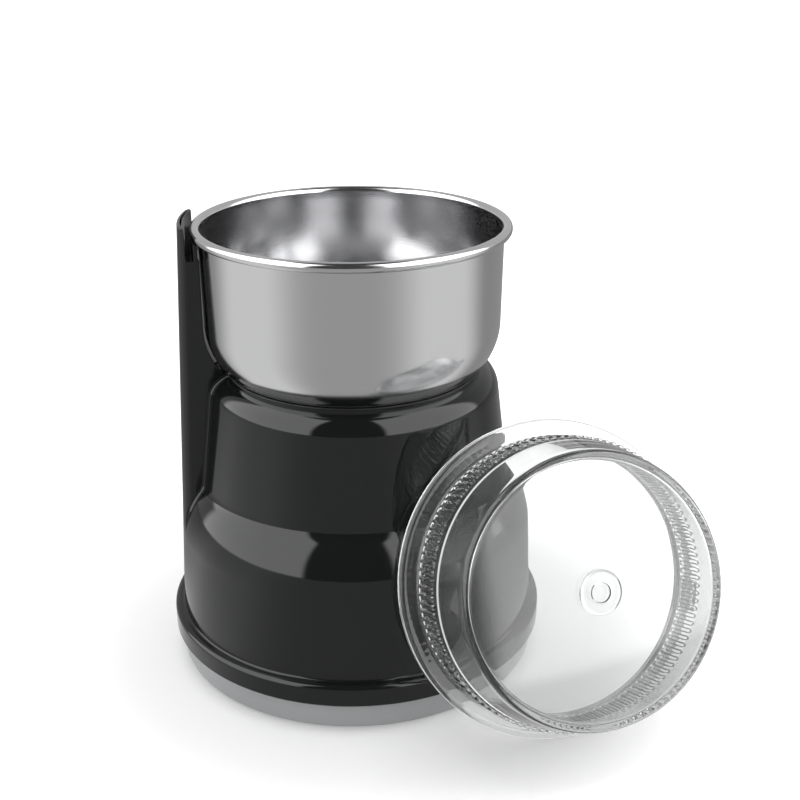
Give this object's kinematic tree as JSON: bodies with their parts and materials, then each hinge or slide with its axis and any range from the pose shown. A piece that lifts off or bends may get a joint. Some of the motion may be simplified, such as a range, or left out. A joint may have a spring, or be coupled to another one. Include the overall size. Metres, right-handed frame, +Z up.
{
  "type": "electric spice grinder",
  "caption": "Small electric grinder: a motor housing with a side column, a lift-out steel bowl with a blade, and a clear lid that leans beside it",
  "frame": {"origin": "on the table under the middle of the motor housing, on the axis of the shaft, blade and bowl", "axes": "+Z up along the shaft; -X is the side with the column; +Y is the back with the cord inlet"},
  "size_m": [0.1571, 0.1447, 0.1356],
  "materials": {
    "housing_black": "polished",
    "base_silver": "satin",
    "cover_black": "matte",
    "rubber_black": "matte",
    "screw_steel": "satin",
    "bowl_steel": "polished",
    "foot_black": "satin",
    "blade_steel": "satin",
    "lamination_steel": "satin",
    "copper_wire": "satin",
    "bracket_metal": "satin",
    "bearing_steel": "polished",
    "fan_plastic": "matte",
    "carbon_grey": "matte",
    "board_green": "satin",
    "part_grey": "matte",
    "lid_clear": "polished"
  },
  "bodies": {
    "housing": {"body_shell": "housing_black", "base_ring": "base_silver", "bottom_cover": "cover_black", "rubber_feet": "rubber_black", "base_screws": "screw_steel", "seat_ring": "rubber_black", "cord_inlet": "cover_black", "stator_core": "lamination_steel", "stator_windings": "copper_wire", "upper_bearing": "bearing_steel", "lower_bearing": "bearing_steel", "upper_bracket": "bracket_metal", "lower_bracket": "bracket_metal", "motor_bolts": "screw_steel", "rubber_mounts": "rubber_black", "mount_screws": "screw_steel", "carbon_brushes": "carbon_grey", "brush_holders": "bracket_metal", "shaft_seal": "rubber_black", "micro_switch": "part_grey", "switch_bracket": "cover_black", "circuit_board": "board_green", "capacitor": "part_grey", "rectifier": "part_grey", "board_posts": "cover_black"},
    "rotor": {"armature_core": "lamination_steel", "armature_windings": "copper_wire", "commutator": "copper_wire", "motor_shaft": "bearing_steel", "cooling_fan": "fan_plastic", "drive_coupling": "cover_black"},
    "bowl": {"bowl_shell": "bowl_steel", "bowl_foot": "foot_black", "bowl_bush": "blade_steel"},
    "blade_unit": {"blade_shaft": "blade_steel", "blade_washer": "blade_steel", "blade": "blade_steel", "blade_nut": "blade_steel", "bowl_coupling": "cover_black"},
    "push_rod": {"push_rod": "cover_black", "return_spring": "screw_steel"},
    "switch_plunger": {"switch_plunger": "fan_plastic"},
    "lid": {"lid_shell": "lid_clear"}
  },
  "joints": [
    {"name": "bowl_lift", "type": "slide", "parent": "housing", "child": "bowl", "axis": [0, 0, 1], "range_m": [0, 0.06]},
    {"name": "rotor_spin", "type": "hinge", "parent": "housing", "child": "rotor", "pos_m": [0, 0, 0.05], "axis": [0, 0, 1], "continuous": true},
    {"name": "blade_spin", "type": "hinge", "parent": "bowl", "child": "blade_unit", "pos_m": [0, 0, 0.095], "axis": [0, 0, 1], "continuous": true},
    {"name": "switch_press", "type": "slide", "parent": "housing", "child": "push_rod", "axis": [0, 0, -1], "range_m": [0, 0.0025], "stiffness_N_per_m": 350, "springref_m": -0.002, "deforming": ["return_spring"]},
    {"name": "plunger_press", "type": "slide", "parent": "housing", "child": "switch_plunger", "axis": [0, 0, -1], "range_m": [0, 0.0025]},
    {"name": "lid_pull", "type": "slide", "parent": "housing", "child": "lid", "axis": [0.2504, -0.9681, 0], "range_m": [0, 0.08]}
  ],
  "couplings": [
    {"joint": "blade_spin", "follows": "rotor_spin", "ratio": 1},
    {"joint": "plunger_press", "follows": "switch_press", "ratio": 1}
  ]
}
